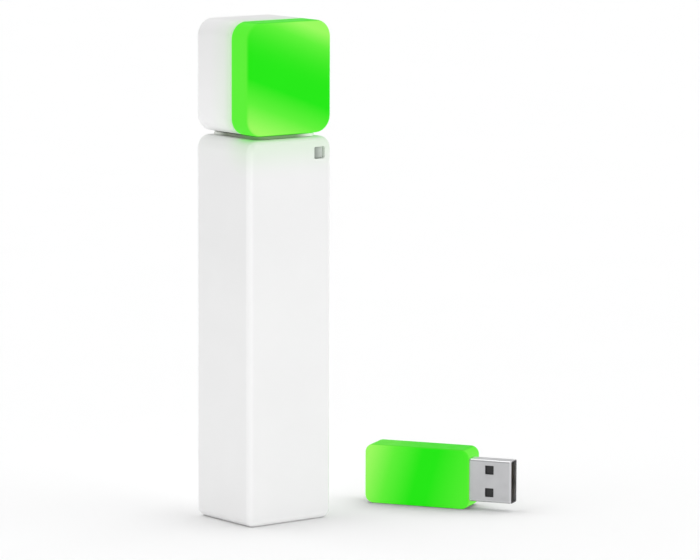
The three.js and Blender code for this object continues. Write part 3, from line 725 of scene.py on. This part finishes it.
def circuit_board(name):
    """Solder mask with faint tracks under it."""
    surface = Surface(name, Coat_Weight=0.4)
    tracks = surface.node("ShaderNodeTexBrick")
    tracks.inputs["Scale"].default_value = TRACK_PATTERN_SCALE
    tracks.inputs["Color1"].default_value = (*srgb(24, 92, 52), 1)
    tracks.inputs["Color2"].default_value = (*srgb(28, 104, 58), 1)
    tracks.inputs["Mortar"].default_value = (*srgb(40, 128, 76), 1)
    upright = surface.node("ShaderNodeMapping")
    upright.inputs["Rotation"].default_value = (math.radians(90), 0, 0)
    surface.link(surface.place, upright.inputs["Vector"])
    surface.link(upright.outputs[0], tracks.inputs["Vector"])
    surface.set("Base Color", tracks.outputs["Color"])
    surface.set("Roughness", surface.vary(surface.noise(2 * MM), 0.32, 0.45))
    surface.bump(tracks.outputs["Fac"], 0.02 * MM, 0.4)
    return surface.material


# Painted shade: each white is lighter low down and darker higher up.
WHITE = moulded_white("column_white", column_painted_glow, (COLUMN_LOW.z, COLUMN_HIGH.z), (0.875, 0.835))
HEAD_WHITE = moulded_white("head_white", head_painted_glow, (HEAD_LOW.z, HEAD_HIGH.z), (0.90, 0.80))
PLAIN_WHITE = moulded_white("plain_white")
HEAD_LENS = lit_lens("head_lens_green", head_lens_shade, head_lens_rim, HEAD_HIGH.z)
DONGLE_LENS = lit_lens("dongle_lens_green", dongle_lens_shade, dongle_lens_rim, DONGLE_HIGH.z)
STEEL = plug_metal("plug_steel")
BUTTON_GREY = button_plastic("button_grey")
RUBBER = moulded("dark_rubber", srgb(40, 40, 42), 0.8, 0.5 * MM, 0.03 * MM)
NECK_PAD = neck_felt("neck_pad_felt")
PLATED = pressed_steel("plated_steel", srgb(190, 191, 192), 0.32)

SLOT_MATERIALS = {
    "white_shell": PLAIN_WHITE,
    "white_tray": PLAIN_WHITE,
    "green_lens": HEAD_LENS,
    "button_grey": BUTTON_GREY,
    "dark_rubber": RUBBER,
    "plug_steel": STEEL,
    "plated_steel": PLATED,
    "contact_gold": pressed_steel("contact_gold", srgb(232, 196, 112), 0.25),
    "frame_grey": moulded("frame_grey", srgb(88, 91, 95), 0.6),
    "black_plastic": moulded("black_plastic", srgb(28, 28, 30), 0.5),
    "chip_black": moulded("chip_black", srgb(24, 24, 26), 0.4),
    "led_body": moulded("led_body", srgb(244, 240, 214), 0.25),
    "cell_sleeve": moulded("cell_sleeve", srgb(46, 94, 168), 0.35),
    "lead_sheath": moulded("lead_sheath", srgb(58, 58, 60), 0.65),
    "circuit_board": circuit_board("circuit_board"),
}


CAD_EDGE_WIDTH = 0.08 * MM
CAD_EDGE_SEGMENTS = 2


def dress_cad_nodes():
    """Gives every CAD node the material of its slot and slightly rounded edges."""
    for row in frame["record"]["subparts"]:
        node = frame["nodes"][row["node"]]
        node.data.materials.clear()
        node.data.materials.append(SLOT_MATERIALS[row["material_slot"]])
        bevel_edges(node, CAD_EDGE_WIDTH, CAD_EDGE_SEGMENTS, CREASE_ANGLE)


dress_cad_nodes()


# ------------------------------------------------------------------ tower

NECK_HOLE_RADIUS = 5.4 * MM
THROAT_HEIGHT = 6 * MM
THROAT_PLAY = 0.12 * MM
THROAT_CORNER = 0.5 * MM
CAVITY_CORNER = 1.7 * MM
CAVITY_OVERLAP = 0.1 * MM
COLUMN_EDGE_WIDTH = 0.06 * MM
DESK_GAP = 0.01 * MM
BUTTON_PLAY = 0.10 * MM
BUTTON_HOLE_CORNER = 0.35 * MM
PORT_PLAY = 0.3 * MM
PORT_HOLE_CORNER = 0.8 * MM


def grown(low, high, play):
    """The X span and the Z span of a box with play all round it."""
    return (low.x - play, high.x + play), (low.z - play, high.z + play)


def throat_cutter():
    """The opening at the bottom that the base cap fits."""
    low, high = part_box("base_cap")
    x_span = (low.x - THROAT_PLAY, high.x + THROAT_PLAY)
    y_span = (low.y - THROAT_PLAY, high.y + THROAT_PLAY)
    return block_cutter(x_span, y_span, (COLUMN_LOW.z - WALL, COLUMN_LOW.z + THROAT_HEIGHT), THROAT_CORNER)


def cavity_cutter():
    """The room inside, a little into the throat below it."""
    x_span = (COLUMN_LOW.x + WALL, COLUMN_HIGH.x - WALL)
    z_span = (COLUMN_LOW.z + THROAT_HEIGHT - CAVITY_OVERLAP, COLUMN_HIGH.z - WALL)
    return block_cutter(x_span, (FRONT + WALL, BACK - WALL), z_span, CAVITY_CORNER)


def button_cutter():
    x_span, z_span = grown(*button_cap_box(), BUTTON_PLAY)
    return block_cutter(x_span, (FRONT - WALL, FRONT + 1.5 * WALL), z_span, BUTTON_HOLE_CORNER)


def port_cutter():
    x_span, z_span = grown(*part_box("charge_port_shell"), PORT_PLAY)
    return block_cutter(x_span, (BACK - 1.5 * WALL, BACK + WALL), z_span, PORT_HOLE_CORNER)


def column_sleeve():
    x_span = (COLUMN_LOW.x, COLUMN_HIGH.x)
    z_span = (DESK_GAP, COLUMN_HIGH.z)
    corners = (COLUMN_BASE_CORNER, COLUMN_TOP_CORNER)
    sleeve = rounded_body("column_sleeve", x_span, z_span, corners, block_profile(FRONT, BACK, EDGE_RADIUS))
    neck = cylinder_cutter(NECK_HOLE_RADIUS, COLUMN_HIGH.z - 2 * WALL, COLUMN_HIGH.z + WALL)
    cut(sleeve, throat_cutter(), cavity_cutter(), neck, button_cutter(), port_cutter())
    soften(sleeve, COLUMN_EDGE_WIDTH)
    return finish_piece(sleeve, "tower", WHITE, "column_shell")


def button_cap_box():
    """The box of the cap's front face, without the flange behind it."""
    face_depth = 0.1 * MM
    points = [vertex.co for vertex in frame["nodes"]["status_button"].data.vertices]
    front = min(point.y for point in points)
    return corners_of([point for point in points if point.y < front + face_depth])


def button_cap():
    """A square cap with a soft edge and a slight dish, and its hidden flange behind."""
    corner = 0.3 * MM
    edge = 0.12 * MM
    dish = 0.12 * MM
    dish_steps = 6
    dish_width = 0.9
    flange_thickness = 0.6 * MM
    low, high = button_cap_box()
    back = span("status_button", 1)[1]
    x_span, z_span = (low.x, high.x), (low.z, high.z)
    half = (high.x - low.x) / 2
    rings = []
    for step in range(1, dish_steps + 1):
        share = step / dish_steps
        inset = half * (1 - share) * dish_width + edge
        rings.append(rounded_ring(x_span, z_span, (corner, corner), inset, low.y + dish * (1 - share ** 2)))
    for inset, y in fillet(0, low.y, edge, 1)[1:]:
        rings.append(rounded_ring(x_span, z_span, (corner, corner), inset, y))
    rings.append(rounded_ring(x_span, z_span, (corner, corner), 0, back - flange_thickness))
    for y in (back - flange_thickness, back):
        rings.append(rounded_ring(
            span("status_button", 0), span("status_button", 2), (corner, corner), 0, y,
        ))
    cap = smooth(loft("button_cap", rings))
    return finish_piece(cap, "button", BUTTON_GREY, "status_button")


def foot_rubber():
    """The rubber pad, with a rounded rim and shallow ribs across its underside."""
    corner = 2.0 * MM
    edge = 0.3 * MM
    grooves = 6
    groove_depth = 0.25 * MM
    groove_width = 0.5 * MM
    groove_margin = 1.6 * MM
    groove_corner = 0.1 * MM
    low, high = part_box("foot_pad")
    rim = ((edge, low.z), (edge * 0.3, low.z + edge * 0.3), (0, low.z + edge), (0, high.z))
    pad = loft("foot_rubber", [level_ring(low, high, corner, inset, height) for inset, height in rim])
    x_span = (low.x + groove_margin, high.x - groove_margin)
    z_span = (low.z - groove_depth, low.z + groove_depth)
    cutters = []
    for index in range(grooves):
        y = low.y + (high.y - low.y) * (index + 1) / (grooves + 1)
        y_span = (y - groove_width / 2, y + groove_width / 2)
        cutters.append(block_cutter(x_span, y_span, z_span, groove_corner))
    cut(pad, *cutters)
    return finish_piece(smooth(pad), "tower", RUBBER, "foot_pad")


def neck_pad():
    """The pad in the gap under the head, with a rounded rim and the neck's hole."""
    corner = 3.0 * MM
    edge = 0.15 * MM
    low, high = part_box("friction_pad")
    rim = block_profile(low.z, high.z, edge)
    pad = loft("neck_pad", [level_ring(low, high, corner, inset, height) for inset, height in rim])
    cut(pad, cylinder_cutter(NECK_HOLE_RADIUS, low.z - WALL, high.z + WALL))
    return finish_piece(smooth(pad), "tower", NECK_PAD, "friction_pad")


def charge_port():
    """The port's plated shell: a flattened tube with a flared, rounded mouth in the back face."""
    wall = 0.3 * MM
    flare = 0.12 * MM
    corner = 0.75 * MM
    corner_steps = 8
    low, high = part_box("charge_port_shell")
    outside = [
        (low.y, flare),
        (high.y - 3 * flare, flare),
        (high.y - flare, flare * 0.4),
        (high.y, 0.0),
    ]
    inside = [
        (high.y, wall * 0.6),
        (high.y - flare, wall),
        (high.y - 3 * flare, wall + flare),
        (low.y, wall + flare),
    ]
    x_span, z_span = (low.x, high.x), (low.z, high.z)
    shell = tube("charge_port", [
        rounded_ring(x_span, z_span, (corner, corner), inset, y, steps=corner_steps)
        for y, inset in outside + inside
    ])
    return finish_piece(smooth(shell), "tower", PLATED, "charge_port_shell")


column_sleeve()
button_cap()
foot_rubber()
neck_pad()
charge_port()


# ------------------------------------------------------------------ lamp head

HEAD_X = (HEAD_LOW.x, HEAD_HIGH.x)
HEAD_Z = (HEAD_LOW.z, HEAD_HIGH.z)
HEAD_CORNERS = (HEAD_CORNER, HEAD_CORNER)
HUB_HOLE_RADIUS = 5.5 * MM


def hub_cutter():
    return cylinder_cutter(HUB_HOLE_RADIUS, HEAD_LOW.z - WALL, HEAD_LOW.z + 1.5 * WALL)


def head_back():
    profile = cup_profile(BACK, SEAM_Y + SEAM_GAP / 2, EDGE_RADIUS, WALL, LIP_RADIUS, -1)
    shell = cut(rounded_body("head_back", HEAD_X, HEAD_Z, HEAD_CORNERS, profile), hub_cutter())
    return finish_piece(smooth(shell), "head", HEAD_WHITE, "head_rear_shell")


def head_lens():
    profile = cup_profile(FRONT, SEAM_Y - SEAM_GAP / 2, EDGE_RADIUS, WALL, LIP_RADIUS, 1)
    lens = cut(rounded_body("head_lens", HEAD_X, HEAD_Z, HEAD_CORNERS, profile), hub_cutter())
    return finish_piece(smooth(lens), "head", HEAD_LENS, "head_diffuser")


head_back()
HEAD_COVER = head_lens()


# ------------------------------------------------------------------ dongle

DONGLE_WALL = 1.2 * MM
DONGLE_CORNERS = (2.4 * MM, 2.4 * MM)
DONGLE_EDGE = 1.1 * MM
DONGLE_SEAM = 0.08 * MM
DONGLE_LIP = 0.12 * MM
PLUG_PLAY = 0.14 * MM
PLUG_SLOT_CORNER = 0.3 * MM


def dongle_half(name, node, side):
    """One snap-together half of the dongle's shell; side is -1 in front and +1 behind."""
    closed, opened = DONGLE_HIGH.y * side, DONGLE_SEAM / 2 * side
    profile = cup_profile(closed, opened, DONGLE_EDGE, DONGLE_WALL, DONGLE_LIP, -side)
    x_span, z_span = (DONGLE_LOW.x, DONGLE_HIGH.x), (DONGLE_LOW.z, DONGLE_HIGH.z)
    shell = rounded_body(name, x_span, z_span, DONGLE_CORNERS, profile)
    cut(shell, block_cutter(
        (DONGLE_HIGH.x - 2 * DONGLE_WALL, DONGLE_HIGH.x + DONGLE_WALL),
        (PLUG_LOW.y - PLUG_PLAY, PLUG_HIGH.y + PLUG_PLAY),
        (PLUG_LOW.z - PLUG_PLAY, PLUG_HIGH.z + PLUG_PLAY),
        PLUG_SLOT_CORNER,
    ))
    return finish_piece(smooth(shell), "dongle", DONGLE_LENS, node, matrix=DONGLE)


PLUG_WALL = 0.24 * MM
PLUG_CORNERS = (0.5 * MM, 0.5 * MM)
PLUG_EDGE_WIDTH = 0.05 * MM
LATCH_HOLE = 2.5 * MM
LATCH_HOLE_CORNER = 0.2 * MM
LATCH_HOLE_FROM_TIP = 6.5 * MM
LATCH_HOLES_APART = 6.4 * MM
BUTT_SEAM = 0.09 * MM
BUTT_SEAM_DEPTH = 0.4 * PLUG_WALL
BUTT_SEAM_CORNER = 0.01 * MM


def plug_ring(x, inset):
    """The plug's rounded section at x: thickness along Y, height along Z."""
    y_span, z_span = (PLUG_LOW.y, PLUG_HIGH.y), (PLUG_LOW.z, PLUG_HIGH.z)
    flat = rounded_ring(y_span, z_span, PLUG_CORNERS, inset, 0.0, steps=SMALL_CORNER_STEPS)
    return [Vector((x, point.x, point.z)) for point in flat]


def plug_shell():
    """A folded steel tube with a slightly closed mouth, two latch holes a side and a butt seam."""
    rim = 0.28 * MM
    bend = 0.02 * MM
    tip, rear = PLUG_HIGH.x, PLUG_LOW.x
    outside = [
        (rear, 0.0),
        (tip - 3 * rim, 0.0),
        (tip - rim, bend),
        (tip - rim * 0.3, 1.6 * bend),
        (tip, 2.4 * bend),
    ]
    inside = [
        (tip, PLUG_WALL),
        (tip - rim, PLUG_WALL + bend),
        (tip - 3 * rim, PLUG_WALL),
        (rear, PLUG_WALL),
    ]
    shell = tube("plug_shell", [plug_ring(x, inset) for x, inset in outside + inside])
    middle = (PLUG_LOW.z + PLUG_HIGH.z) / 2
    hole = tip - LATCH_HOLE_FROM_TIP
    hole_x = (hole - LATCH_HOLE / 2, hole + LATCH_HOLE / 2)
    through = (PLUG_LOW.y - MM, PLUG_HIGH.y + MM)
    cutters = []
    for side in (-1, 1):
        centre = middle + side * LATCH_HOLES_APART / 2
        hole_z = (centre - LATCH_HOLE / 2, centre + LATCH_HOLE / 2)
        cutters.append(block_cutter(hole_x, through, hole_z, LATCH_HOLE_CORNER))
    seam_y = (PLUG_HIGH.y - BUTT_SEAM_DEPTH, PLUG_HIGH.y + MM)
    seam_z = (middle - BUTT_SEAM / 2, middle + BUTT_SEAM / 2)
    cutters.append(block_cutter((rear - MM, tip + MM), seam_y, seam_z, BUTT_SEAM_CORNER))
    cut(shell, *cutters)
    soften(shell, PLUG_EDGE_WIDTH, segments=2)
    return finish_piece(shell, "dongle", STEEL, "usb_plug_shell", matrix=DONGLE)


DONGLE_FRONT = dongle_half("dongle_lens_front", "dongle_front_shell", -1)
DONGLE_BACK = dongle_half("dongle_lens_back", "dongle_rear_shell", 1)
plug_shell()


# ------------------------------------------------------------------ floor, light and camera

FLOOR_REACH = 40 * TOWER_HEIGHT
PAPER_DULL = grey(0.945)
PAPER_CLEAR = grey(0.95)
FOOT_SHADE = 0.085
FOOT_SHADE_REACH = 26 * MM


def squared_distance_past(surface, coordinate, limit):
    """The square of how far a coordinate lies past a limit on either side of 0."""
    past = surface.maths("SUBTRACT", surface.maths("ABSOLUTE", coordinate), limit)
    return surface.maths("POWER", surface.maths("MAXIMUM", past, 0.0), 2.0)


def floor():
    """A pale paper sheet, softly shaded round the tower's foot."""
    corners = [(x * FLOOR_REACH, y * FLOOR_REACH, 0) for x, y in ((-1, -1), (1, -1), (1, 1), (-1, 1))]
    sheet = mesh_object("floor", corners, [(0, 1, 2, 3)])
    surface = Surface("floor_paper", Roughness=0.9, Specular_IOR_Level=0.0)
    paper = surface.drift(surface.noise(60 * MM), PAPER_DULL, PAPER_CLEAR)
    x, y, _ = surface.axes()
    past_x = squared_distance_past(surface, x, HALF_WIDTH)
    past_y = squared_distance_past(surface, y, BACK)
    away = surface.maths("SQRT", surface.maths("ADD", past_x, past_y))
    near = surface.maths("POWER", surface.remap(away, 0.0, FOOT_SHADE_REACH, 1.0, 0.0, "LINEAR"), 2.0)
    surface.set("Base Color", surface.mix(surface.maths("MULTIPLY", near, FOOT_SHADE), paper, grey(0.0)))
    sheet.data.materials.append(surface.material)
    return sheet


def keep_glow_off(sheet, *lenses):
    """The lit covers glow for the eye and for the pieces around them but don't colour the floor."""
    unlit = bpy.data.collections.new("not_lit_by_the_covers")
    unlit.objects.link(sheet)
    unlit.collection_objects[0].light_linking.link_state = "EXCLUDE"
    for lens in lenses:
        lens.light_linking.receiver_collection = unlit


SKY_FRONT = 1.65
SKY_BACK = 0.53
SKY_TOP = 0.0
# The parts of the view direction's Y and Z over which the sky fades.
SKY_DEPTH_FADE = (-0.9, 0.9)
SKY_HEIGHT_FADE = (0.15, 0.75)


def studio_sky():
    """A white room: bright at eye level, most of all in front.

    The light from above comes from the lamps.
    """
    world = bpy.data.worlds.new("studio")
    world.use_nodes = True
    tree = world.node_tree
    background = tree.nodes["Background"]
    background.inputs["Color"].default_value = (1.0, 1.0, 1.0, 1.0)
    direction = tree.nodes.new("ShaderNodeTexCoord").outputs["Generated"]
    split = tree.nodes.new("ShaderNodeSeparateXYZ")
    tree.links.new(direction, split.inputs[0])

    def blend(source, fade, at_low, at_high):
        made = tree.nodes.new("ShaderNodeMapRange")
        made.interpolation_type = "SMOOTHSTEP"
        for socket, number in zip(made.inputs[1:5], (*fade, at_low, at_high)):
            socket.default_value = number
        tree.links.new(source, made.inputs[0])
        return made

    eye_level = blend(split.outputs[1], SKY_DEPTH_FADE, SKY_FRONT, SKY_BACK)
    overhead = blend(split.outputs[2], SKY_HEIGHT_FADE, 0.0, SKY_TOP)
    tree.links.new(eye_level.outputs[0], overhead.inputs[3])
    tree.links.new(overhead.outputs[0], background.inputs["Strength"])
    bpy.context.scene.world = world


LAMP_SPREAD = math.radians(60)
# Each lamp's direction from the object, and its strength.
LAMPS = {
    "lamp_behind": ((0.37, 0.47, 1.0), 1.00),
    "lamp_left": ((-0.55, 0.43, 1.0), 1.19),
    "lamp_right": ((0.55, -0.43, 1.0), 0.89),
}


def top_light(name, towards, strength):
    """A very large soft light overhead."""
    data = bpy.data.lights.new(name, "SUN")
    data.angle = LAMP_SPREAD
    data.energy = strength
    lamp = bpy.data.objects.new(name, data)
    lamp.rotation_mode = "QUATERNION"
    lamp.rotation_quaternion = Vector(towards).to_track_quat("Z", "Y")
    bpy.context.scene.collection.objects.link(lamp)


VIEW_AZIMUTH = math.radians(-37.84)
VIEW_ELEVATION = math.radians(7.97)
VIEW_ROLL = math.radians(0.17)
VIEW_DISTANCE = 9.077 * TOWER_HEIGHT
AIM_HEIGHT = 0.4789 * TOWER_HEIGHT
AIM_SIDE = 0.1719 * TOWER_HEIGHT
FILM_WIDTH = 36
FOCAL_LENGTH = 234.3


def camera():
    """The viewing angle: from the front left, a little above the desk, with a long lens."""
    level = math.cos(VIEW_ELEVATION)
    back = Vector((
        math.sin(VIEW_AZIMUTH) * level, -math.cos(VIEW_AZIMUTH) * level, math.sin(VIEW_ELEVATION),
    ))
    right = Vector((math.cos(VIEW_AZIMUTH), math.sin(VIEW_AZIMUTH), 0))
    up = back.cross(right)
    turned_right = right * math.cos(VIEW_ROLL) + up * math.sin(VIEW_ROLL)
    turned_up = up * math.cos(VIEW_ROLL) - right * math.sin(VIEW_ROLL)
    data = bpy.data.cameras.new("camera")
    data.sensor_width = FILM_WIDTH
    data.lens = FOCAL_LENGTH
    data.clip_start = 0.01
    data.clip_end = 100
    eye = bpy.data.objects.new("camera", data)
    rotation = Matrix((turned_right, turned_up, back)).transposed().to_4x4()
    place = Vector((0, 0, AIM_HEIGHT)) + right * AIM_SIDE + back * VIEW_DISTANCE
    eye.matrix_world = Matrix.Translation(place) @ rotation
    bpy.context.scene.collection.objects.link(eye)
    bpy.context.scene.camera = eye


keep_glow_off(floor(), HEAD_COVER, DONGLE_FRONT, DONGLE_BACK)
studio_sky()
for lamp_name, (lamp_direction, lamp_strength) in LAMPS.items():
    top_light(lamp_name, lamp_direction, lamp_strength)
camera()
bpy.context.scene.view_settings.view_transform = "Standard"
